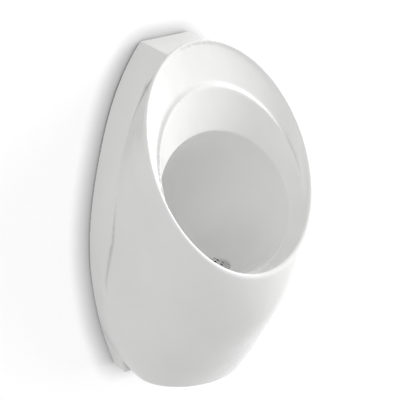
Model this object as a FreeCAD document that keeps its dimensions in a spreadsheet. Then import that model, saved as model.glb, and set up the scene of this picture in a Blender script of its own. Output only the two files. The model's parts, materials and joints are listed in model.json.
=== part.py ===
import FreeCAD, Part
import math
import os
import re

from FreeCAD import Rotation, Vector

# Wall hung urinal in white vitreous china, with a tilted oval rim, a ledge round its backsplash and a
# round bowl, hung on two wall hooks, with a domed strainer and a bottle trap hidden behind its front.
#
# Frame: millimetres. The wall is the plane Y = 0 and the china stands out of it towards -Y. +X is to
# the right for someone facing the urinal, +Z is up, and the origin lies on the wall in the middle of
# the four holes of the wall hooks. A "drop" is a distance down from the china's flat top, a "reach" is
# a distance out from the wall.

DIMENSIONS = {
    # the whole china
    "base_drop": 648,
    "origin_drop": 140,
    "wall_gap": 3,
    "china_wall": 10,
    # outline of the skirt against the wall: half widths at six drops
    "top_half_width": 52,
    "crown_half_width": 97,
    "crown_drop": 68,
    "shoulder_half_width": 145,
    "shoulder_drop": 211,
    "widest_half_width": 169.5,
    "widest_drop": 390,
    "flank_half_width": 151,
    "flank_drop": 544,
    "base_half_width": 119,
    # how far the skirt's straight sides stand out from the wall
    "skirt_top_reach": 106,
    "skirt_reach": 78,
    "skirt_slope_drop": 60,
    "skirt_bend_drop": 345,
    "skirt_flank_reach": 52,
    "skirt_flank_drop": 440,
    "skirt_base_reach": 42,
    # tilted oval rim
    "rim_reach": 224,
    "rim_drop": 165,
    "rim_tilt": 58.4,
    "rim_half_width": 165,
    "rim_half_height": 223,
    "lip_width": 8.5,
    "lip_round": 4,
    "lip_inner_round": 3,
    # barrel: ovals on planes that fan up from a line in front of the base to the rim
    "barrel_base_half_width": 107,
    "barrel_low_half_width": 158.3,
    "barrel_mid_half_width": 163.1,
    "barrel_high_half_width": 159,
    "barrel_base_half_depth": 88.7,
    "barrel_low_half_depth": 227.6,
    "barrel_high_half_depth": 243.3,
    "barrel_base_front": 354.9,
    "barrel_low_front": 302.1,
    "barrel_mid_front": 282.1,
    "barrel_high_front": 286.3,
    # inside of the basin
    "lip_depth": 5,
    "bowl_radius": 133,
    "bowl_length": 180,
    "bowl_reach": 209.5,
    "bowl_drop": 258.5,
    "basin_taper": 3,
    "ledge_half_width": 146,
    "ledge_half_height": 187,
    "ledge_shift": 43,
    "ledge_depth": 22,
    "ledge_rise": 6,
    "ledge_side_width": 3,
    "ledge_top_width": 9,
    "bowl_edge_width": 1.5,
    # flush water: chamber behind the backsplash, spray holes under the rim's top
    "chamber_base_drop": 52,
    "inlet_drop": 32,
    "inlet_panel": 21,
    "inlet_panel_half_width": 28,
    "inlet_recess_radius": 22.5,
    "inlet_recess_depth": 8,
    "inlet_hole_radius": 16,
    "spray_radius": 1.8,
    "spray_length": 28,
    "spray_aim_reach": 60,
    "spray_aim_drop": 30,
    "spray_count": 5,
    "spray_pitch": 6,
    # back panel and hollow behind the bowl
    "panel_drop": 205,
    "web_thickness": 9,
    "access_inset": 20,
    # wall hooks
    "hook_half_pitch": 60,
    "hook_width": 40,
    "hook_thickness": 2.5,
    "hook_top_drop": 72,
    "hook_seat_drop": 92,
    "hook_base_drop": 184,
    "hook_pad": 1.5,
    "hook_slack": 1.5,
    "slot_margin": 4,
    "slot_height": 84,
    "wall_hole_radius": 4.5,
    "wall_hole_pitch": 50,
    # strip between the china and the wall
    "strip_inset": 4,
    "strip_width": 6,
    # inlet fittings
    "spud_tail_radius": 10.5,
    "spud_radius": 11.5,
    "spud_bore_radius": 7.5,
    "spud_flare_radius": 13.5,
    "spud_flare_length": 5,
    "spud_inner_reach": 36,
    "spud_wall_length": 22,
    "fit_clearance": 0.1,
    "inlet_bush_flange_radius": 20,
    "inlet_bush_flange": 2,
    "inlet_washer_radius": 19,
    "inlet_washer_thickness": 1.5,
    "inlet_nut_radius": 17,
    "inlet_nut_thickness": 4,
    "inlet_bush_radius": 15.7,
    # waste fitting in the bottom of the bowl
    "seat_radius": 33,
    "seat_depth": 4,
    "outlet_hole_radius": 24,
    "outlet_pad_radius": 44,
    "outlet_pad_thickness": 18,
    "waste_flange_radius": 32,
    "waste_flange_thickness": 3,
    "waste_gasket_thickness": 2,
    "waste_radius": 22,
    "waste_bore_radius": 18.5,
    "waste_length": 46,
    "waste_lower_gasket_radius": 32,
    "waste_lower_gasket_thickness": 4,
    "waste_washer_thickness": 2,
    "waste_nut_radius": 33,
    "waste_nut_thickness": 10,
    "nut_corners": 6,
    "slip_nut_corners": 10,
    # lift-out domed strainer
    "dome_radius": 26,
    "dome_height": 13,
    "dome_wall": 1.6,
    "dome_rim_thickness": 2,
    "dome_spigot_length": 9,
    "dome_hole_radius": 2.6,
    "dome_spigot_radius": 18.3,
    "dome_outer_ring": 19.5,
    "dome_outer_count": 12,
    "dome_inner_ring": 10,
    "dome_inner_count": 6,
    # union under the waste and the elbow that carries the water back to the trap
    "union_grip": 10,
    "union_collar": 4,
    "union_nut_radius": 30,
    "union_seal_thickness": 2,
    "elbow_radius": 17,
    "elbow_bore_radius": 15,
    "elbow_flange_radius": 21.8,
    "elbow_flange_thickness": 2.5,
    "elbow_drop_leg": 6,
    "elbow_bend_radius": 28,
    # bottle trap behind the elbow
    "trap_reach": 80,
    "trap_radius": 30,
    "trap_wall": 2.5,
    "trap_above_inlet": 28,
    "trap_head_height": 87.5,
    "socket_length": 14,
    "socket_wall": 4,
    "socket_nut_radius": 28,
    "socket_nut_length": 18,
    "socket_nut_collar": 4,
    "socket_seal_length": 4,
    "dip_bend_radius": 20,
    "dip_length": 88,
    "cup_radius": 35,
    "cup_wall": 2.5,
    "cup_height": 70,
    "cup_overlap": 20,
    "cup_seal_thickness": 2.5,
    "cup_rib_count": 8,
    "cup_rib_radius": 2,
    "cup_rib_drop": 15,
    "cup_rib_length": 42,
    "head_flange_thickness": 3,
    # pipe into the wall
    "outlet_radius": 20,
    "outlet_wall": 2,
    "outlet_insert": 10,
    "outlet_wall_length": 30,
    "outlet_bead_radius": 22,
    "outlet_bead_thickness": 2,
    "outlet_nut_radius": 31,
    "collar_radius": 38,
    "collar_thickness": 8,
    "turn_clearance": 0.3,
}

# sizes that follow from the ones above
STACKED = {
    "bowl_fall": "sqrt((bowl_length * cos(rim_tilt)) ^ 2 + (bowl_radius * sin(rim_tilt)) ^ 2)",
    "bowl_floor_drop": "bowl_drop + bowl_fall",
    "drain_lean": "sin(rim_tilt) * cos(rim_tilt) * (bowl_length ^ 2 - bowl_radius ^ 2) / bowl_fall",
    "drain_reach": "bowl_reach - drain_lean",
    "seat_drop": "bowl_floor_drop + seat_depth",
    "pad_drop": "seat_drop + outlet_pad_thickness",
    "flange_base_drop": "seat_drop - waste_gasket_thickness",
    "flange_drop": "flange_base_drop - waste_flange_thickness",
    "dome_rim_drop": "flange_drop - dome_rim_thickness",
    "dome_top_drop": "dome_rim_drop - dome_height",
    "dome_curve": "(dome_radius ^ 2 + dome_height ^ 2) / (2 * dome_height)",
    "dome_centre_drop": "dome_top_drop + dome_curve",
    "lower_gasket_drop": "pad_drop + waste_lower_gasket_thickness",
    "waste_washer_drop": "lower_gasket_drop + waste_washer_thickness",
    "waste_nut_drop": "waste_washer_drop + waste_nut_thickness",
    "waste_end_drop": "flange_base_drop + waste_length",
    "union_top_drop": "waste_end_drop - union_grip",
    "union_seal_drop": "waste_end_drop + union_seal_thickness",
    "elbow_flange_drop": "union_seal_drop + elbow_flange_thickness",
    "union_end_drop": "elbow_flange_drop + union_collar",
    "elbow_bend_drop": "elbow_flange_drop + elbow_drop_leg",
    "elbow_bend_reach": "drain_reach - elbow_bend_radius",
    "trap_line_drop": "elbow_bend_drop + elbow_bend_radius",
    "trap_top_drop": "trap_line_drop - trap_above_inlet",
    "trap_end_drop": "trap_top_drop + trap_head_height",
    "cup_top_drop": "trap_end_drop - cup_overlap",
    "cup_seal_drop": "cup_top_drop - cup_seal_thickness",
    "head_flange_drop": "cup_seal_drop - head_flange_thickness",
    "cup_end_drop": "cup_top_drop + cup_height",
    "dip_bend_drop": "trap_line_drop + dip_bend_radius",
    "dip_bend_reach": "trap_reach + dip_bend_radius",
    "dip_end_drop": "trap_line_drop + dip_length",
    "front_socket_reach": "trap_reach + trap_radius + socket_length",
    "front_joint_reach": "front_socket_reach - outlet_insert",
    "front_seal_reach": "front_socket_reach + socket_seal_length",
    "front_nut_reach": "front_seal_reach + socket_nut_collar",
    "rear_socket_reach": "trap_reach - trap_radius - socket_length",
    "rear_joint_reach": "rear_socket_reach + outlet_insert",
    "rear_seal_reach": "rear_socket_reach - socket_seal_length",
    "rear_nut_reach": "rear_seal_reach - socket_nut_collar",
    "front_socket_radius": "elbow_radius + socket_wall",
    "rear_socket_radius": "outlet_radius + socket_wall",
    "recess_reach": "wall_gap + inlet_recess_depth",
    "bush_flange_reach": "recess_reach - inlet_bush_flange",
    "inlet_washer_reach": "bush_flange_reach - inlet_washer_thickness",
    "inlet_nut_reach": "inlet_washer_reach - inlet_nut_thickness",
    "spud_flare_reach": "spud_inner_reach - spud_flare_length",
    "hook_tongue_drop": "hook_seat_drop + hook_pad",
    "hook_tongue_base_drop": "hook_tongue_drop + hook_thickness",
    "hook_panel_reach": "wall_gap + china_wall",
    "pad_front_reach": "hook_panel_reach + hook_slack",
    "lip_back_reach": "pad_front_reach + hook_pad",
    "lip_front_reach": "lip_back_reach + hook_thickness",
}

doc = FreeCAD.newDocument("urinal")
sheet = doc.addObject("Spreadsheet::Sheet", "Sizes")
cells = {alias: str(value) for alias, value in DIMENSIONS.items()}
cells.update({alias: f"={formula}" for alias, formula in STACKED.items()})
for row, (alias, text) in enumerate(cells.items(), start=1):
    sheet.set(f"A{row}", alias)
    sheet.setAlias(f"B{row}", alias)
    sheet.set(f"B{row}", text)
doc.recompute()


def size(alias):
    return float(sheet.get(alias))


def height(drop):
    return size("origin_drop") - drop


subparts = []


def keep(shape_object, node):
    """Names one finished sub-part."""
    shape_object.Label = node
    subparts.append(shape_object)
    return shape_object


def shaped(node, shape):
    """A sub-part whose form is built from the sheet's sizes."""
    feature = doc.addObject("Part::Feature", node)
    feature.Shape = shape
    return keep(feature, node)


# ---------------------------------------------------------------- the rim's plane

TILT = math.radians(size("rim_tilt"))
ACROSS = Vector(1, 0, 0)
UPSLOPE = Vector(0, math.cos(TILT), math.sin(TILT))
INWARD = Vector(0, math.sin(TILT), -math.cos(TILT))
RIM_CENTRE = Vector(0, -size("rim_reach"), height(size("rim_drop")))
# the rim's plane and the base's plane meet in a line in front of the china
FAN_REACH = size("rim_reach") + (size("base_drop") - size("rim_drop")) / math.tan(TILT)
FAN_LINE = Vector(0, -FAN_REACH, height(size("base_drop")))
BOWL_CENTRE = Vector(0, -size("bowl_reach"), height(size("bowl_drop")))
BOWL_SHIFT = (BOWL_CENTRE - RIM_CENTRE).dot(UPSLOPE)
BOWL_DEPTH = (BOWL_CENTRE - RIM_CENTRE).dot(INWARD)


def rim_point(across, upslope, depth):
    """A point given by its place in the rim's plane and its depth below it."""
    return RIM_CENTRE + ACROSS * across + UPSLOPE * upslope + INWARD * depth


def oval(centre, half_width, half_height, up, points=24):
    """A closed smooth oval, symmetric about the middle plane."""
    ring = []
    for i in range(points):
        angle = 2 * math.pi * i / points
        ring.append(centre + up * (half_height * math.cos(angle)) + ACROSS * (half_width * math.sin(angle)))
    curve = Part.BSplineCurve()
    curve.interpolate(Points=ring, PeriodicFlag=True)
    return Part.Wire([curve.toShape()])


def rim_oval(half_width, half_height, shift, depth):
    return oval(rim_point(0, shift, depth), half_width, half_height, UPSLOPE)


def curve_through(values, share):
    """The polynomial through evenly spaced values, at a share of the way along them."""
    count = len(values)
    total = 0
    for i, value in enumerate(values):
        term = value
        for j in range(count):
            if j != i:
                term *= (share * (count - 1) - j) / (i - j)
        total += term
    return total


# ---------------------------------------------------------------- outside of the china

BARREL_SECTIONS = 8


def barrel(inset):
    """The rounded front body, from the base up to the rim, drawn in by an inset."""
    to_rim = RIM_CENTRE - FAN_LINE
    widths = [
        size("barrel_base_half_width"),
        size("barrel_low_half_width"),
        size("barrel_mid_half_width"),
        size("barrel_high_half_width"),
        size("rim_half_width"),
    ]
    depths = [
        size("barrel_base_half_depth"),
        size("barrel_low_half_depth"),
        size("barrel_high_half_depth"),
        size("rim_half_height"),
    ]
    fronts = [
        size("barrel_base_front"),
        size("barrel_low_front"),
        size("barrel_mid_front"),
        size("barrel_high_front"),
        to_rim.Length - size("rim_half_height"),
    ]
    sections = []
    for i in range(BARREL_SECTIONS + 1):
        share = i / BARREL_SECTIONS
        outward = Vector(0, math.cos(TILT * share), math.sin(TILT * share))
        half_depth = curve_through(depths, share)
        centre = FAN_LINE + outward * (curve_through(fronts, share) + half_depth)
        half_width = curve_through(widths, share) - inset
        sections.append(oval(centre, half_width, half_depth - inset, outward))
    return Part.makeLoft(sections, True, False)


def wall_outline(inset):
    """The skirt's outline on the wall, drawn in by an inset."""
    right = [
        Vector(size("top_half_width") - inset, 0, height(inset)),
        Vector(size("crown_half_width") - inset, 0, height(size("crown_drop"))),
        Vector(size("shoulder_half_width") - inset, 0, height(size("shoulder_drop"))),
        Vector(size("widest_half_width") - inset, 0, height(size("widest_drop"))),
        Vector(size("flank_half_width") - inset, 0, height(size("flank_drop"))),
        Vector(size("base_half_width") - inset, 0, height(size("base_drop") - inset)),
    ]
    left = [Vector(-point.x, 0, point.z) for point in right]
    side_right = Part.BSplineCurve()
    side_right.interpolate(right)
    side_left = Part.BSplineCurve()
    side_left.interpolate(left)
    return Part.Wire(
        [
            side_right.toShape(),
            Part.makeLine(right[-1], left[-1]),
            side_left.toShape(),
            Part.makeLine(left[0], right[0]),
        ]
    )


def skirt(inset):
    """The flat sided body behind the barrel, drawn in by an inset."""
    margin = 5
    slab = Part.Face(wall_outline(inset)).extrude(Vector(0, -size("skirt_top_reach"), 0))
    side = [
        (-margin, -margin),
        (size("skirt_top_reach") - inset, -margin),
        (size("skirt_top_reach") - inset, inset),
        (size("skirt_reach") - inset, size("skirt_slope_drop")),
        (size("skirt_reach") - inset, size("skirt_bend_drop")),
        (size("skirt_flank_reach") - inset, size("skirt_flank_drop")),
        (size("skirt_base_reach") - inset, size("base_drop") + margin),
        (-margin, size("base_drop") + margin),
    ]
    half_span = size("widest_half_width") + margin
    corners = [Vector(-half_span, -reach, height(drop)) for reach, drop in side]
    profile = Part.Face(Part.makePolygon(corners + corners[:1]))
    return slab.common(profile.extrude(Vector(2 * half_span, 0, 0)))


def edges_near(shape, test):
    return [edge for edge in shape.Edges if test(edge)]


def on_rim_plane(edge):
    start = edge.FirstParameter
    span = edge.LastParameter - start
    points = [edge.valueAt(start + span * k / 4) for k in range(5)]
    return all(abs((point - RIM_CENTRE).dot(INWARD)) < 0.01 for point in points)


def in_front_of_wall(shape):
    """Cuts a shape off at the china's flat back."""
    room = 2 * size("base_drop")
    block = Part.makeBox(room, room, 2 * room, Vector(-room / 2, -size("wall_gap") - room, -room))
    return shape.common(block)


# ---------------------------------------------------------------- inside of the basin


def lofted(*sections):
    return Part.makeLoft(list(sections), True, True)


def round_bowl(outset):
    """Half of an egg that hangs inward from the bowl's edge circle, grown by an outset."""
    deepest = BOWL_CENTRE + INWARD * (size("bowl_length") + outset)
    side = BOWL_CENTRE + ACROSS * (size("bowl_radius") + outset)
    curve = Part.ArcOfEllipse(Part.Ellipse(deepest, side, BOWL_CENTRE), 0, math.pi / 2)
    edges = [curve.toShape(), Part.makeLine(side, BOWL_CENTRE), Part.makeLine(BOWL_CENTRE, deepest)]
    return Part.Face(Part.Wire(Part.__sortEdges__(edges))).revolve(BOWL_CENTRE, INWARD, 360)


def basin_room():
    """The space inside the rim, the backsplash, the ledge and the bowl."""
    above = 20
    inner_width = size("rim_half_width") - size("lip_width")
    inner_height = size("rim_half_height") - size("lip_width")
    well = lofted(
        rim_oval(inner_width, inner_height, 0, 0),
        rim_oval(inner_width - size("basin_taper"), inner_height - size("basin_taper"), 0, BOWL_DEPTH),
    )
    wide = 1.6
    ledge_width = size("ledge_half_width")
    ledge_height = size("ledge_half_height")
    crest_width = ledge_width - size("ledge_side_width")
    crest_height = ledge_height - (size("ledge_side_width") + size("ledge_top_width")) / 2
    crest_shift = -size("ledge_shift") - (size("ledge_top_width") - size("ledge_side_width")) / 2
    crest_depth = size("ledge_depth") - size("ledge_rise")
    mouth = lofted(
        rim_oval(inner_width * wide, inner_height * wide, 0, -1),
        rim_oval(inner_width * wide, inner_height * wide, 0, size("lip_depth")),
    )
    backsplash = lofted(
        rim_oval(inner_width, inner_height, 0, size("lip_depth")),
        rim_oval(ledge_width, ledge_height, -size("ledge_shift"), size("ledge_depth")),
    )
    ledge = lofted(
        rim_oval(crest_width, crest_height, crest_shift, crest_depth),
        rim_oval(ledge_width, ledge_height, -size("ledge_shift"), size("ledge_depth")),
    )
    edge_radius = size("bowl_radius") + size("bowl_edge_width")
    funnel = lofted(
        rim_oval(crest_width, crest_height, crest_shift, crest_depth),
        rim_oval(edge_radius, edge_radius, BOWL_SHIFT, BOWL_DEPTH),
    )
    room = mouth.fuse([backsplash.cut(ledge), funnel]).common(well)
    return room.Solids[0].fuse(round_bowl(0))


def upright(radius, top_drop, bottom_drop, reach):
    """A vertical cylinder between two drops."""
    foot = Vector(0, -reach, height(bottom_drop))
    return Part.makeCylinder(radius, bottom_drop - top_drop, foot, Vector(0, 0, 1))


def basin_shell():
    """The china round the basin that the hollow behind it leaves standing."""
    wall = size("china_wall")
    skin = lofted(
        rim_oval(size("rim_half_width"), size("rim_half_height"), 0, -1),
        rim_oval(size("rim_half_width"), size("rim_half_height"), 0, size("lip_depth") + wall),
        rim_oval(
            size("ledge_half_width") + wall,
            size("ledge_half_height") + wall,
            -size("ledge_shift"),
            size("ledge_depth") + wall,
        ),
        rim_oval(size("bowl_radius") + wall, size("bowl_radius") + wall, BOWL_SHIFT, BOWL_DEPTH + wall),
    )
    pad = upright(
        size("outlet_pad_radius"),
        size("bowl_floor_drop") - wall,
        size("pad_drop"),
        size("drain_reach"),
    )
    return skin.fuse([round_bowl(wall), pad])


def block(half_width, near_reach, far_reach, top_drop, bottom_drop, centre=0):
    """A box between two reaches and two drops."""
    corner = Vector(centre - half_width, -far_reach, height(bottom_drop))
    return Part.makeBox(2 * half_width, far_reach - near_reach, bottom_drop - top_drop, corner)


def rear_hollow():
    """The hollow behind the bowl, open to the wall below the back panel."""
    wall = size("china_wall")
    back = size("wall_gap")
    span = size("widest_half_width")
    base = size("base_drop")
    hollow = barrel(wall).fuse(skirt(wall))
    floor = block(span, -base, base, base - wall, base + wall)
    panel = block(span, -base, back + wall, -wall, size("panel_drop"))
    web_top = size("chamber_base_drop")
    web = block(span, 0, base, web_top, web_top + size("web_thickness"))
    inlet_block = block(size("inlet_panel_half_width"), 0, back + size("inlet_panel"), 0, web_top)
    return hollow.cut([floor, panel, web, inlet_block, basin_shell()])


def access_opening():
    """The opening in the underside, through which the trap is reached."""
    wall = size("china_wall")
    base = size("base_drop")
    inset = size("access_inset")
    slab = block(base, size("wall_gap") + inset, base, base - wall - 1, base + wall)
    return barrel(inset).fuse(skirt(inset)).common(slab)


def flush_passages():
    """Inlet hole, and spray holes from the flush chamber out under the rim's top."""
    back = -size("wall_gap")
    inlet = Vector(0, back, height(size("inlet_drop")))
    outward = Vector(0, -1, 0)
    recess = Part.makeCylinder(size("inlet_recess_radius"), size("inlet_recess_depth"), inlet, outward)
    hole = Part.makeCylinder(size("inlet_hole_radius"), size("inlet_panel") + 1, inlet, outward)
    inner_width = size("rim_half_width") - size("lip_width")
    inner_height = size("rim_half_height") - size("lip_width")

    def under_rim(angle, inset, depth):
        return rim_point(
            (inner_width + inset) * math.sin(angle),
            (inner_height + inset) * math.cos(angle),
            depth,
        )

    aim = Vector(0, -size("spray_aim_reach"), height(size("spray_aim_drop")))
    passages = [recess, hole]
    count = int(size("spray_count"))
    for k in range(count):
        angle = math.radians(size("spray_pitch") * (k - (count - 1) / 2))
        mouth = under_rim(angle, -size("spray_radius"), size("lip_depth") - size("spray_radius"))
        run = aim + ACROSS * mouth.x - mouth
        passages.append(Part.makeCylinder(size("spray_radius"), size("spray_length"), mouth, run))
    return passages


def outlet_cuts():
    """Seat and hole for the waste fitting."""
    top = size("bowl_floor_drop") - size("china_wall")
    reach = size("drain_reach")
    seat = upright(size("seat_radius"), top, size("seat_drop"), reach)
    hole = upright(size("outlet_hole_radius"), top, size("pad_drop") + 1, reach)
    return [seat, hole]


def hook_slots():
    half = size("hook_width") / 2 + size("slot_margin")
    top = size("hook_seat_drop")
    back = size("wall_gap")
    far = back + size("china_wall") + 1
    pitch = size("hook_half_pitch")
    return [block(half, 0, far, top, top + size("slot_height"), side * pitch) for side in (-1, 1)]


def china():
    body = in_front_of_wall(barrel(0).fuse(skirt(0)))
    body = body.makeFillet(size("lip_round"), edges_near(body, on_rim_plane))
    body = body.cut(basin_room())
    inner_edge = min(edges_near(body, on_rim_plane), key=lambda edge: edge.Length)
    body = body.makeFillet(size("lip_inner_round"), [inner_edge])
    body = body.cut(rear_hollow())
    body = body.cut(access_opening())
    return body.cut(flush_passages() + outlet_cuts() + hook_slots())


shaped("ceramic_body", china())


def strip():
    """The sealing strip that closes the gap between the china's edge and the wall."""
    outer = Part.Face(wall_outline(size("strip_inset")))
    inner = Part.Face(wall_outline(size("strip_inset") + size("strip_width")))
    return outer.cut(inner).extrude(Vector(0, -size("wall_gap"), 0))


shaped("wall_strip", strip())

# ---------------------------------------------------------------- fittings from simple solids


def tied(text):
    """An expression whose size names point into the sheet."""
    return re.sub(r"[a-z]+(_[a-z]+)+", r"Sizes.\g<0>", text)


def placed(solid, across, reach, drop):
    """Ties a solid's place to the sheet: across the middle, out from the wall, down from the top."""
    solid.setExpression("Placement.Base.x", tied(across))
    solid.setExpression("Placement.Base.y", tied(f"-({reach})"))
    solid.setExpression("Placement.Base.z", tied(f"origin_drop - ({drop})"))
    return solid


DOWN = "down"
OUT = "out"


def rod(way, radius, near, far, centre, across="0", corners=None):
    """A cylinder or prism that runs down between two drops or out between two reaches."""
    if corners:
        solid = doc.addObject("Part::Prism", "prism")
        solid.setExpression("Polygon", tied(corners))
        solid.setExpression("Circumradius", tied(radius))
    else:
        solid = doc.addObject("Part::Cylinder", "rod")
        solid.setExpression("Radius", tied(radius))
    solid.setExpression("Height", tied(f"({far}) - ({near})"))
    if way == DOWN:
        return placed(solid, across, centre, far)
    solid.Placement.Rotation = Rotation(Vector(1, 0, 0), 90)
    return placed(solid, across, near, centre)


def slab(half_width, near_reach, far_reach, top_drop, bottom_drop, across="0"):
    """A box between two reaches and two drops."""
    solid = doc.addObject("Part::Box", "slab")
    solid.setExpression("Length", tied(f"2 * ({half_width})"))
    solid.setExpression("Width", tied(f"({far_reach}) - ({near_reach})"))
    solid.setExpression("Height", tied(f"({bottom_drop}) - ({top_drop})"))
    return placed(solid, f"({across}) - ({half_width})", far_reach, bottom_drop)


def bend(radius, turn, reach, drop):
    """A quarter ring that turns a downward pipe towards the wall, or the other way round."""
    solid = doc.addObject("Part::Torus", "bend")
    solid.setExpression("Radius1", tied(turn))
    solid.setExpression("Radius2", tied(radius))
    solid.Angle3 = 90
    solid.Placement.Rotation = Rotation(Vector(0, -1, 0), Vector(0, 0, -1), Vector(1, 0, 0))
    return placed(solid, "0", reach, drop)


def joined(solids):
    if len(solids) == 1:
        return solids[0]
    whole = doc.addObject("Part::MultiFuse", "whole")
    whole.Shapes = solids
    return whole


def assembled(node, solids, holes=()):
    """One sub-part: solids joined into one, less its holes."""
    whole = joined(solids)
    if holes:
        rest = doc.addObject("Part::Cut", "rest")
        rest.Base = whole
        rest.Tool = joined(list(holes))
        whole = rest
    return keep(whole, node)


def ring(node, way, outer, inner, near, far, centre, corners=None):
    """A washer, gasket, plain nut or tube."""
    return assembled(
        node,
        [rod(way, outer, near, far, centre, corners=corners)],
        [rod(way, inner, near, far, centre)],
    )


# ---------------------------------------------------------------- wall hooks

for node, side in (("hook_left", "-1"), ("hook_right", "1")):
    middle = f"{side} * hook_half_pitch"
    half = "hook_width / 2"
    plate = slab(half, "0", "hook_thickness", "hook_tongue_drop", "hook_base_drop", middle)
    tongue = slab(half, "0", "lip_front_reach", "hook_tongue_drop", "hook_tongue_base_drop", middle)
    lip = slab(half, "lip_back_reach", "lip_front_reach", "hook_top_drop", "hook_tongue_base_drop", middle)
    holes = []
    for way in ("-", "+"):
        drop = f"origin_drop {way} wall_hole_pitch / 2"
        holes.append(rod(OUT, "wall_hole_radius", "0", "hook_thickness", drop, middle))
    assembled(node, [plate, tongue, lip], holes)

pads = []
for side in ("-1", "1"):
    middle = f"{side} * hook_half_pitch"
    half = "hook_width / 2"
    under = slab(half, "wall_gap", "lip_back_reach", "hook_seat_drop", "hook_tongue_drop", middle)
    behind = slab(half, "pad_front_reach", "lip_back_reach", "hook_top_drop", "hook_tongue_drop", middle)
    pads += [under, behind]
assembled("hook_pads", pads)

# ---------------------------------------------------------------- inlet fittings

assembled(
    "inlet_spud",
    [
        rod(OUT, "spud_tail_radius", "-spud_wall_length", "0", "inlet_drop"),
        rod(OUT, "spud_radius", "0", "spud_inner_reach", "inlet_drop"),
        rod(OUT, "spud_flare_radius", "spud_flare_reach", "spud_inner_reach", "inlet_drop"),
    ],
    [rod(OUT, "spud_bore_radius", "-spud_wall_length", "spud_inner_reach", "inlet_drop")],
)
assembled(
    "inlet_bush",
    [
        rod(OUT, "inlet_bush_flange_radius", "bush_flange_reach", "recess_reach", "inlet_drop"),
        rod(OUT, "inlet_bush_radius", "bush_flange_reach", "spud_flare_reach", "inlet_drop"),
    ],
    [rod(OUT, "spud_radius + fit_clearance", "bush_flange_reach", "spud_flare_reach", "inlet_drop")],
)
ring(
    "inlet_washer",
    OUT,
    "inlet_washer_radius",
    "spud_radius + turn_clearance",
    "inlet_washer_reach",
    "bush_flange_reach",
    "inlet_drop",
)
ring(
    "inlet_locknut",
    OUT,
    "inlet_nut_radius",
    "spud_radius + fit_clearance",
    "inlet_nut_reach",
    "inlet_washer_reach",
    "inlet_drop",
    "nut_corners",
)

# ---------------------------------------------------------------- domed strainer


def dome():
    """A cap of a hollow sphere on a flat rim, with a spigot below and two rings of holes."""
    outside = doc.addObject("Part::Sphere", "outside")
    outside.setExpression("Radius", tied("dome_curve"))
    placed(outside, "0", "drain_reach", "dome_centre_drop")
    inside = doc.addObject("Part::Sphere", "inside")
    inside.setExpression("Radius", tied("dome_curve - dome_wall"))
    placed(inside, "0", "drain_reach", "dome_centre_drop")
    cap = doc.addObject("Part::Common", "cap")
    cap.Base = outside
    cap.Tool = rod(DOWN, "dome_radius", "dome_top_drop", "dome_rim_drop", "drain_reach")
    base = rod(DOWN, "dome_radius", "dome_rim_drop", "flange_drop", "drain_reach")
    spigot_end = "flange_drop + dome_spigot_length"
    spigot = rod(DOWN, "dome_spigot_radius", "flange_drop", spigot_end, "drain_reach")
    throat = rod(DOWN, "dome_spigot_radius - dome_wall", "dome_rim_drop", spigot_end, "drain_reach")
    hollow = doc.addObject("Part::Common", "hollow")
    hollow.Base = inside
    hollow.Tool = rod(DOWN, "dome_radius", "dome_top_drop", "dome_rim_drop", "drain_reach")
    holes = [hollow, throat]
    for circle, count in (("dome_outer_ring", "dome_outer_count"), ("dome_inner_ring", "dome_inner_count")):
        for k in range(int(size(count))):
            angle = f"{k} * 360 deg / {count}"
            hole = rod(
                DOWN,
                "dome_hole_radius",
                "dome_top_drop",
                "dome_rim_drop",
                f"drain_reach + {circle} * cos({angle})",
                f"{circle} * sin({angle})",
            )
            holes.append(hole)
    return assembled("strainer_dome", [cap, base, spigot], holes)


dome()

# ---------------------------------------------------------------- waste fitting

ring(
    "waste_gasket_upper",
    DOWN,
    "waste_flange_radius",
    "waste_radius + turn_clearance",
    "flange_base_drop",
    "seat_drop",
    "drain_reach",
)
assembled(
    "waste_body",
    [
        rod(DOWN, "waste_flange_radius", "flange_drop", "flange_base_drop", "drain_reach"),
        rod(DOWN, "waste_radius", "flange_drop", "waste_end_drop", "drain_reach"),
    ],
    [rod(DOWN, "waste_bore_radius", "flange_drop", "waste_end_drop", "drain_reach")],
)
ring(
    "waste_gasket_lower",
    DOWN,
    "waste_lower_gasket_radius",
    "waste_radius + turn_clearance",
    "pad_drop",
    "lower_gasket_drop",
    "drain_reach",
)
ring(
    "waste_washer",
    DOWN,
    "waste_lower_gasket_radius",
    "waste_radius + turn_clearance",
    "lower_gasket_drop",
    "waste_washer_drop",
    "drain_reach",
)
ring(
    "waste_backnut",
    DOWN,
    "waste_nut_radius",
    "waste_radius + fit_clearance",
    "waste_washer_drop",
    "waste_nut_drop",
    "drain_reach",
    "nut_corners",
)

# ---------------------------------------------------------------- union and elbow

ring(
    "waste_union_seal",
    DOWN,
    "waste_radius - turn_clearance",
    "waste_bore_radius",
    "waste_end_drop",
    "union_seal_drop",
    "drain_reach",
)
assembled(
    "waste_union_nut",
    [
        rod(
            DOWN,
            "union_nut_radius",
            "union_top_drop",
            "union_end_drop",
            "drain_reach",
            corners="slip_nut_corners",
        )
    ],
    [
        rod(DOWN, "waste_radius + turn_clearance", "union_top_drop", "elbow_flange_drop", "drain_reach"),
        rod(DOWN, "elbow_radius + turn_clearance", "elbow_flange_drop", "union_end_drop", "drain_reach"),
    ],
)


def bent_pipe(radius, start, turn, bend_reach, bend_drop, end_reach):
    """Down from a start, round a quarter turn, and level on towards the wall."""
    return [
        rod(DOWN, radius, start, bend_drop, f"{bend_reach} + {turn}"),
        bend(radius, turn, bend_reach, bend_drop),
        rod(OUT, radius, end_reach, bend_reach, f"{bend_drop} + {turn}"),
    ]


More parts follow.
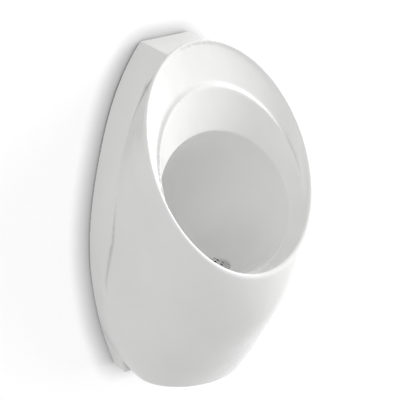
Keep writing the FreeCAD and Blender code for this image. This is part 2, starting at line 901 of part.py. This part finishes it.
elbow_run = [
    "union_seal_drop",
    "elbow_bend_radius",
    "elbow_bend_reach",
    "elbow_bend_drop",
    "front_joint_reach",
]
assembled(
    "waste_elbow",
    bent_pipe("elbow_radius", *elbow_run)
    + [rod(DOWN, "elbow_flange_radius", "union_seal_drop", "elbow_flange_drop", "drain_reach")],
    bent_pipe("elbow_bore_radius", *elbow_run),
)

# ---------------------------------------------------------------- bottle trap

assembled(
    "trap_head",
    [
        rod(DOWN, "trap_radius", "trap_top_drop", "trap_end_drop", "trap_reach"),
        rod(DOWN, "cup_radius", "head_flange_drop", "cup_seal_drop", "trap_reach"),
        rod(DOWN, "cup_radius - cup_wall - turn_clearance", "cup_top_drop", "trap_end_drop", "trap_reach"),
        rod(OUT, "front_socket_radius", "trap_reach", "front_socket_reach", "trap_line_drop"),
        rod(OUT, "rear_socket_radius", "rear_socket_reach", "trap_reach", "trap_line_drop"),
    ],
    [
        rod(DOWN, "trap_radius - trap_wall", "trap_top_drop + trap_wall", "trap_end_drop", "trap_reach"),
        rod(OUT, "elbow_radius + turn_clearance", "trap_reach", "front_socket_reach", "trap_line_drop"),
        rod(OUT, "outlet_radius + turn_clearance", "rear_socket_reach", "trap_reach", "trap_line_drop"),
    ],
)


def dip_pipe(radius):
    """Level in from the joint, round a quarter turn, and down into the cup."""
    curve = bend(radius, "dip_bend_radius", "dip_bend_reach", "dip_bend_drop")
    curve.Placement.Rotation = Rotation(Vector(0, 1, 0), Vector(0, 0, 1), Vector(1, 0, 0))
    return [
        rod(OUT, radius, "dip_bend_reach", "front_joint_reach", "trap_line_drop"),
        curve,
        rod(DOWN, radius, "dip_bend_drop", "dip_end_drop", "trap_reach"),
    ]


assembled("trap_dip_tube", dip_pipe("elbow_radius"), dip_pipe("elbow_bore_radius"))
ring(
    "trap_cup_seal",
    DOWN,
    "cup_radius",
    "trap_radius + turn_clearance",
    "cup_seal_drop",
    "cup_top_drop",
    "trap_reach",
)

ribs = []
for k in range(int(size("cup_rib_count"))):
    angle = f"{k} * 360 deg / cup_rib_count + 22.5 deg"
    rib = rod(
        DOWN,
        "cup_rib_radius",
        "cup_top_drop + cup_rib_drop",
        "cup_top_drop + cup_rib_drop + cup_rib_length",
        f"trap_reach + cup_radius * cos({angle})",
        f"cup_radius * sin({angle})",
    )
    ribs.append(rib)
assembled(
    "trap_cup",
    [rod(DOWN, "cup_radius", "cup_top_drop", "cup_end_drop", "trap_reach")] + ribs,
    [rod(DOWN, "cup_radius - cup_wall", "cup_top_drop", "cup_end_drop - cup_wall", "trap_reach")],
)
ring(
    "trap_inlet_seal",
    OUT,
    "front_socket_radius",
    "elbow_radius + turn_clearance",
    "front_socket_reach",
    "front_seal_reach",
    "trap_line_drop",
)
assembled(
    "trap_inlet_nut",
    [
        rod(
            OUT,
            "socket_nut_radius",
            "front_nut_reach - socket_nut_length",
            "front_nut_reach",
            "trap_line_drop",
            corners="slip_nut_corners",
        )
    ],
    [
        rod(
            OUT,
            "front_socket_radius + turn_clearance",
            "front_nut_reach - socket_nut_length",
            "front_seal_reach",
            "trap_line_drop",
        ),
        rod(OUT, "elbow_radius + turn_clearance", "front_seal_reach", "front_nut_reach", "trap_line_drop"),
    ],
)

# ---------------------------------------------------------------- pipe into the wall

ring(
    "outlet_seal",
    OUT,
    "rear_socket_radius",
    "outlet_radius + turn_clearance",
    "rear_seal_reach",
    "rear_socket_reach",
    "trap_line_drop",
)
assembled(
    "outlet_nut",
    [
        rod(
            OUT,
            "outlet_nut_radius",
            "rear_nut_reach",
            "rear_nut_reach + socket_nut_length",
            "trap_line_drop",
            corners="slip_nut_corners",
        )
    ],
    [
        rod(OUT, "outlet_radius + turn_clearance", "rear_nut_reach", "rear_seal_reach", "trap_line_drop"),
        rod(
            OUT,
            "rear_socket_radius + turn_clearance",
            "rear_seal_reach",
            "rear_nut_reach + socket_nut_length",
            "trap_line_drop",
        ),
    ],
)
assembled(
    "outlet_pipe",
    [
        rod(OUT, "outlet_radius", "-outlet_wall_length", "rear_joint_reach", "trap_line_drop"),
        rod(OUT, "outlet_bead_radius", "0", "outlet_bead_thickness", "trap_line_drop"),
    ],
    [rod(OUT, "outlet_radius - outlet_wall", "-outlet_wall_length", "rear_joint_reach", "trap_line_drop")],
)
assembled(
    "wall_collar",
    [rod(OUT, "collar_radius", "0", "collar_thickness", "trap_line_drop")],
    [
        rod(OUT, "outlet_radius + turn_clearance", "0", "collar_thickness", "trap_line_drop"),
        rod(
            OUT,
            "outlet_bead_radius + turn_clearance",
            "0",
            "outlet_bead_thickness + turn_clearance",
            "trap_line_drop",
        ),
    ],
)

# ---------------------------------------------------------------- check and write

doc.recompute()
for item in doc.Objects:
    if "Invalid" in item.State or "Error" in item.State:
        raise RuntimeError(f"{item.Name} ({item.Label}) did not compute: {item.State}")
os.makedirs("parts", exist_ok=True)
for part in subparts:
    shape = part.Shape
    if shape.isNull() or not shape.isValid() or not shape.Solids:
        raise RuntimeError(f"{part.Label} has no valid solid")
    shape.exportStep(f"parts/{part.Label}.step")
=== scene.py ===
import json
import math

import bmesh
import bpy
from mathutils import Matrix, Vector

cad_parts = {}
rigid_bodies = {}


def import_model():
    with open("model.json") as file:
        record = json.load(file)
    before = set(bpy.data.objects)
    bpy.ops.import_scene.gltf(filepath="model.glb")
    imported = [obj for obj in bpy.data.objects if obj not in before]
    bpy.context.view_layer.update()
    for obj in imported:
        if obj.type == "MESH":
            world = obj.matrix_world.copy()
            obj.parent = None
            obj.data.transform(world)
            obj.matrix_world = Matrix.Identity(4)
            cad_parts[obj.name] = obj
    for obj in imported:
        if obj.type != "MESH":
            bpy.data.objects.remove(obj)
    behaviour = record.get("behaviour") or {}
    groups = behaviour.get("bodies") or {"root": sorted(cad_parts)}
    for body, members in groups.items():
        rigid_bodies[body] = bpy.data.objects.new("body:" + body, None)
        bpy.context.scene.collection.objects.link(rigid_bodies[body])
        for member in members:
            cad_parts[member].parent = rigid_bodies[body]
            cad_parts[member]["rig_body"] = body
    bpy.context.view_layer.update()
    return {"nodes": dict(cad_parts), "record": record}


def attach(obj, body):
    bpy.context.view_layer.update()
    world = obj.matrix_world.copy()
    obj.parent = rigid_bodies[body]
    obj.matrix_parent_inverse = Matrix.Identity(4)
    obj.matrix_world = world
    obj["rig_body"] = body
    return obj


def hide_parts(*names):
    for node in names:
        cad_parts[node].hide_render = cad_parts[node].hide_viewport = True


# Wall hung urinal in white glazed china, seen from its front left and above against a white wall.
# Metres, +Z up, the wall is the plane Y = 0 and the origin is in the middle of the wall hooks' holes.

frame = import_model()
nodes = frame["nodes"]
slots = {entry["node"]: entry["material_slot"] for entry in frame["record"]["subparts"]}


# ---------------------------------------------------------------- shader nodes

def link(material, source, socket):
    material.node_tree.links.new(source, socket)


def node(material, kind, **settings):
    """A shader node with its sockets and settings given by name."""
    made = material.node_tree.nodes.new(kind)
    for key, value in settings.items():
        if key in made.inputs:
            made.inputs[key].default_value = value
        else:
            setattr(made, key, value)
    return made


def combine(material, operation, first, second):
    """The result of a math operation on two sockets, kept between 0 and 1."""
    made = node(material, "ShaderNodeMath", operation=operation)
    made.use_clamp = True
    link(material, first, made.inputs[0])
    link(material, second, made.inputs[1])
    return made.outputs[0]


def compare(material, operation, source, number):
    """The result of a math operation on a socket and a number."""
    made = node(material, "ShaderNodeMath", operation=operation)
    link(material, source, made.inputs[0])
    made.inputs[1].default_value = number
    return made.outputs[0]


def place(material):
    return node(material, "ShaderNodeTexCoord").outputs["Object"]


def noise(material, scale, detail=3):
    """A noise with that many waves in a metre."""
    made = node(material, "ShaderNodeTexNoise", Scale=scale, Detail=detail)
    link(material, place(material), made.inputs["Vector"])
    return made.outputs["Fac"]


NOISE_SPAN = (0.3, 0.7)
WHOLE_SPAN = (0, 1)


def spread(material, source, low, high, span=NOISE_SPAN):
    """Maps a span of values, by default that of a noise, to low and high."""
    made = node(material, "ShaderNodeMapRange")
    made.inputs["From Min"].default_value = span[0]
    made.inputs["From Max"].default_value = span[1]
    made.inputs["To Min"].default_value = low
    made.inputs["To Max"].default_value = high
    link(material, source, made.inputs["Value"])
    return made.outputs["Result"]


def tint(material, source, dark, light):
    """Maps a noise to a colour between two."""
    made = node(material, "ShaderNodeMix", data_type="RGBA")
    made.inputs["A"].default_value = (*dark, 1)
    made.inputs["B"].default_value = (*light, 1)
    link(material, spread(material, source, 0, 1), made.inputs["Factor"])
    return made.outputs["Result"]


def relief(material, source, depth, below=None):
    """A bump of that depth in metres, on top of another one."""
    made = node(material, "ShaderNodeBump", Strength=1, Distance=depth)
    link(material, source, made.inputs["Height"])
    if below:
        link(material, below, made.inputs["Normal"])
    return made.outputs["Normal"]


def blank(name):
    """A material and its Principled shader."""
    material = bpy.data.materials.new(name)
    material.use_nodes = True
    return material, material.node_tree.nodes["Principled BSDF"]


# ---------------------------------------------------------------- china

# The first three constants paint shade into the china: its colour, the pointiness span of the crease and
# the span towards the wall where it shows.
CREASE_SHADE_TINT = (0.72, 0.72, 0.71)
CREASE_SHADE_HOLLOW = (0.475, 0.496)
CREASE_SHADE_BEHIND = (-0.115, -0.1)
CHINA_DARK = (0.80, 0.80, 0.79)
CHINA_LIGHT = (0.83, 0.83, 0.825)
CHINA_PATCHES = 9
GLOSS_PATCHES = 40
GLOSS = (0.17, 0.24)
GLAZE_IOR = 1.52
WAVES = 22
WAVE_DEPTH = 0.0012
PEEL = 380
PEEL_DEPTH = 0.00002


def crease_shaded(material, colour):
    """A colour darkened along the crease of the skirt near the wall: painted shade in the concave
    crease, found from the mesh's pointiness.
    """
    corners = node(material, "ShaderNodeNewGeometry").outputs["Pointiness"]
    hollow = spread(material, corners, 1, 0, CREASE_SHADE_HOLLOW)
    where = node(material, "ShaderNodeSeparateXYZ")
    link(material, place(material), where.inputs[0])
    behind = spread(material, where.outputs["Y"], 0, 1, CREASE_SHADE_BEHIND)
    made = node(material, "ShaderNodeMix", data_type="RGBA", blend_type="MULTIPLY")
    link(material, combine(material, "MULTIPLY", hollow, behind), made.inputs["Factor"])
    link(material, colour, made.inputs["A"])
    made.inputs["B"].default_value = (*CREASE_SHADE_TINT, 1)
    return made.outputs["Result"]


def glaze(name):
    """Vitreous china: a clear glaze that lies slightly wavy over a warm white body."""
    material, shader = blank(name)
    body = tint(material, noise(material, CHINA_PATCHES), CHINA_DARK, CHINA_LIGHT)
    # The body colour is darkened with painted shade along the skirt's crease.
    link(material, crease_shaded(material, body), shader.inputs["Base Color"])
    link(material, spread(material, noise(material, GLOSS_PATCHES), *GLOSS), shader.inputs["Roughness"])
    shader.inputs["IOR"].default_value = GLAZE_IOR
    waves = relief(material, noise(material, WAVES, detail=1), WAVE_DEPTH)
    peel = relief(material, noise(material, PEEL, detail=2), PEEL_DEPTH, waves)
    link(material, peel, shader.inputs["Normal"])
    return material


# ---------------------------------------------------------------- metal, rubber and plastic

def finish(name, dark, light, gloss, patches, gloss_grain, grain, depth, detail=3, metallic=0):
    """A surface whose colour, gloss and relief each vary on a scale of their own."""
    material, shader = blank(name)
    shader.inputs["Metallic"].default_value = metallic
    link(material, tint(material, noise(material, patches), dark, light), shader.inputs["Base Color"])
    link(material, spread(material, noise(material, gloss_grain), *gloss), shader.inputs["Roughness"])
    link(material, relief(material, noise(material, grain, detail), depth), shader.inputs["Normal"])
    return material


METAL = {"patches": 60, "gloss_grain": 900, "grain": 700, "depth": 0.00001, "metallic": 1}
RUBBER = {"patches": 200, "gloss_grain": 500, "grain": 1500, "depth": 0.00006, "detail": 4}
MOULDED = {"patches": 25, "gloss_grain": 150, "grain": 1200, "depth": 0.00003}

CHROME = finish("chrome_plate", (0.62, 0.63, 0.64), (0.74, 0.75, 0.76), gloss=(0.06, 0.16), **METAL)
BRASS = finish("plain_brass", (0.58, 0.42, 0.19), (0.74, 0.57, 0.30), gloss=(0.2, 0.38), **METAL)
ZINC = finish("zinc_plate", (0.42, 0.43, 0.44), (0.60, 0.61, 0.62), gloss=(0.28, 0.5), **METAL)
SEAL = finish("seal_rubber", (0.02, 0.02, 0.021), (0.05, 0.05, 0.052), gloss=(0.55, 0.8), **RUBBER)
STRIP = finish("strip_rubber", (0.05, 0.05, 0.05), (0.09, 0.09, 0.088), gloss=(0.55, 0.8), **RUBBER)
PLASTIC = finish("white_plastic", (0.66, 0.66, 0.64), (0.74, 0.74, 0.72), gloss=(0.28, 0.42), **MOULDED)

FINISHES = {
    "china": glaze("china_glaze"),
    "strainer_chrome": CHROME,
    "waste_chrome": CHROME,
    "fitting_brass": BRASS,
    "hook_steel": ZINC,
    "seal_rubber": SEAL,
    "strip_rubber": STRIP,
    "trap_plastic": PLASTIC,
}


# ---------------------------------------------------------------- pieces

def put(name, data):
    """An object in the scene, at the origin."""
    thing = bpy.data.objects.new(name, data)
    bpy.context.scene.collection.objects.link(thing)
    return thing


def stand_for(piece, node_name):
    """Gives a piece the finish of the node's material slot and the node's body, and hides the node that
    it replaces.
    """
    piece.data.materials.clear()
    piece.data.materials.append(FINISHES[slots[node_name]])
    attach(piece, nodes[node_name]["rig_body"])
    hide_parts(node_name)


# ---------------------------------------------------------------- glazed china

GLAZE_CELL = 0.002
GLAZE_PASSES = 16
GLAZE_PULL = 0.5


def glazed(name, node_name):
    """The fired piece: the same form with every edge softened, as a glaze leaves it."""
    piece = put(name, nodes[node_name].data.copy())
    cells = piece.modifiers.new("cells", "REMESH")
    cells.mode = "VOXEL"
    cells.voxel_size = GLAZE_CELL
    soften = piece.modifiers.new("soften", "SMOOTH")
    soften.factor = GLAZE_PULL
    soften.iterations = GLAZE_PASSES
    fired = bpy.data.meshes.new_from_object(piece.evaluated_get(bpy.context.evaluated_depsgraph_get()))
    piece.modifiers.clear()
    piece.data = fired
    fired.polygons.foreach_set("use_smooth", [True] * len(fired.polygons))
    stand_for(piece, node_name)


glazed("china_glazed", "ceramic_body")


# ---------------------------------------------------------------- fittings with eased edges

SAME_POINT = 0.000001
FLAT_TURN = math.radians(0.2)
CORNER_TURN = math.radians(32)
EASE = 0.0002
EASE_STEPS = 2
EASE_ROUND = 0.5


def eased(node_name):
    """A fitting with its corners eased, its flats kept flat and its round faces smooth."""
    shape = bmesh.new()
    shape.from_mesh(nodes[node_name].data)
    bmesh.ops.remove_doubles(shape, verts=shape.verts, dist=SAME_POINT)
    bmesh.ops.dissolve_limit(shape, angle_limit=FLAT_TURN, verts=shape.verts, edges=shape.edges)
    made = bmesh.ops.bevel(
        shape,
        geom=[edge for edge in shape.edges if edge.calc_face_angle(0) > CORNER_TURN],
        offset=EASE,
        offset_type="OFFSET",
        segments=EASE_STEPS,
        profile=EASE_ROUND,
        affect="EDGES",
        clamp_overlap=True,
    )
    rounds = set(made["faces"])
    for face in shape.faces:
        face.smooth = True
    for edge in shape.edges:
        alike = len({face in rounds for face in edge.link_faces}) == 1
        edge.smooth = alike and edge.calc_face_angle(0) < CORNER_TURN
    mesh = bpy.data.meshes.new(node_name + "_eased")
    shape.to_mesh(mesh)
    shape.free()
    stand_for(put(node_name + "_eased", mesh), node_name)


for name in sorted(nodes):
    if name != "ceramic_body":
        eased(name)


# ---------------------------------------------------------------- wall

WALL_HALF = 6.0
WALL_BEHIND = 0.0004
WALL_CONTACT = 0.005
WALL_PAINT = (0.5, 0.5, 0.5)
WALL_GLOW = 0.62
# The next three set the painted shadow on the wall next to the china: its reach, power and samples.
WALL_PAINTED_SHADOW_REACH = 0.045
WALL_PAINTED_SHADOW_POWER = 2
WALL_PAINTED_SHADOW_SAMPLES = 16


def seen_rays(material):
    """1 for the rays that show a background: from the camera, off metal or through glass."""
    path = node(material, "ShaderNodeLightPath").outputs
    mirrored = combine(material, "MAXIMUM", path["Is Camera Ray"], path["Is Glossy Ray"])
    return combine(material, "MAXIMUM", mirrored, path["Is Transmission Ray"])


def glow_with_painted_shadow(material):
    """White paint that glows up to its studio white, with the glow cut back by ambient occlusion close
    to the china: a painted contact shadow.
    """
    paint = node(material, "ShaderNodeBsdfDiffuse", Color=(*WALL_PAINT, 1))
    # Painted shadow: ambient occlusion cuts back the glow where the china stands close.
    near = node(material, "ShaderNodeAmbientOcclusion", samples=WALL_PAINTED_SHADOW_SAMPLES)
    near.inputs["Distance"].default_value = WALL_PAINTED_SHADOW_REACH
    painted_shadow = compare(material, "POWER", near.outputs["AO"], WALL_PAINTED_SHADOW_POWER)
    glow = node(material, "ShaderNodeEmission", Color=(1, 1, 1, 1))
    link(material, spread(material, painted_shadow, 0, WALL_GLOW, WHOLE_SPAN), glow.inputs["Strength"])
    lit = node(material, "ShaderNodeAddShader")
    link(material, paint.outputs[0], lit.inputs[0])
    link(material, glow.outputs[0], lit.inputs[1])
    return lit.outputs[0]


def wall_material():
    """Paint on the room's side for the rays that show it. Clear from behind and to what lies on it."""
    material = bpy.data.materials.new("wall_paint")
    material.use_nodes = True
    material.node_tree.nodes.clear()
    clear = node(material, "ShaderNodeBsdfTransparent")
    behind = node(material, "ShaderNodeNewGeometry").outputs["Backfacing"]
    length = node(material, "ShaderNodeLightPath").outputs["Ray Length"]
    apart = compare(material, "GREATER_THAN", length, WALL_CONTACT)
    seen = combine(material, "MULTIPLY", seen_rays(material), apart)
    mix = node(material, "ShaderNodeMixShader")
    link(material, combine(material, "SUBTRACT", seen, behind), mix.inputs[0])
    link(material, clear.outputs[0], mix.inputs[1])
    link(material, glow_with_painted_shadow(material), mix.inputs[2])
    output = node(material, "ShaderNodeOutputMaterial")
    link(material, mix.outputs[0], output.inputs["Surface"])
    return material


def wall():
    ring = [(-1, -1), (1, -1), (1, 1), (-1, 1)]
    corners = [(x * WALL_HALF, WALL_BEHIND, z * WALL_HALF) for x, z in ring]
    mesh = bpy.data.meshes.new("wall")
    mesh.from_pydata(corners, [], [(0, 1, 2, 3)])
    mesh.materials.append(wall_material())
    put("wall", mesh)


wall()


# ---------------------------------------------------------------- lights, world and camera

MIDDLE = Vector((0, -0.17, -0.2))
LAMP_WIDTH = 1.8
KEY = ((2.61, -0.92, 1.5), 68)
FILLS = {
    "fill_right": ((2.62, -2.0, -0.2), 34),
    "fill_front": ((-1.9, -2.2, 0.6), 9),
    "fill_left": ((-2.58, -0.62, 1.63), 9),
}
WORLD_COLOUR = (0.97, 0.97, 0.97)
WORLD_LIGHT = 0.6
WORLD_SEEN = 1
EYE = Vector((-1.8639, -2.9583, 1.3207))
TARGET = Vector((0, -0.124, -0.1451))
LENS = 180
SENSOR = 36


def aim(thing, spot, target):
    thing.location = spot
    thing.rotation_euler = (target - thing.location).to_track_quat("-Z", "Y").to_euler()


def area_light(name, spot, power):
    """A square lamp of that power in watts, turned to the middle of the china."""
    lamp = bpy.data.lights.new(name, "AREA")
    lamp.shape = "SQUARE"
    lamp.size = LAMP_WIDTH
    lamp.energy = power
    thing = put(name, lamp)
    aim(thing, Vector(spot), MIDDLE)
    return thing


area_light("key", *KEY)
for name, (spot, power) in FILLS.items():
    area_light(name, spot, power).visible_glossy = False

world = bpy.data.worlds.new("studio")
bpy.context.scene.world = world
world.use_nodes = True
sky = world.node_tree.nodes["Background"]
sky.inputs["Color"].default_value = (*WORLD_COLOUR, 1)
link(world, spread(world, seen_rays(world), WORLD_LIGHT, WORLD_SEEN, WHOLE_SPAN), sky.inputs["Strength"])

camera_data = bpy.data.cameras.new("camera")
camera_data.lens = LENS
camera_data.sensor_width = SENSOR
camera = put("camera", camera_data)
aim(camera, EYE, TARGET)
bpy.context.scene.camera = camera
bpy.context.scene.view_settings.view_transform = "Standard"
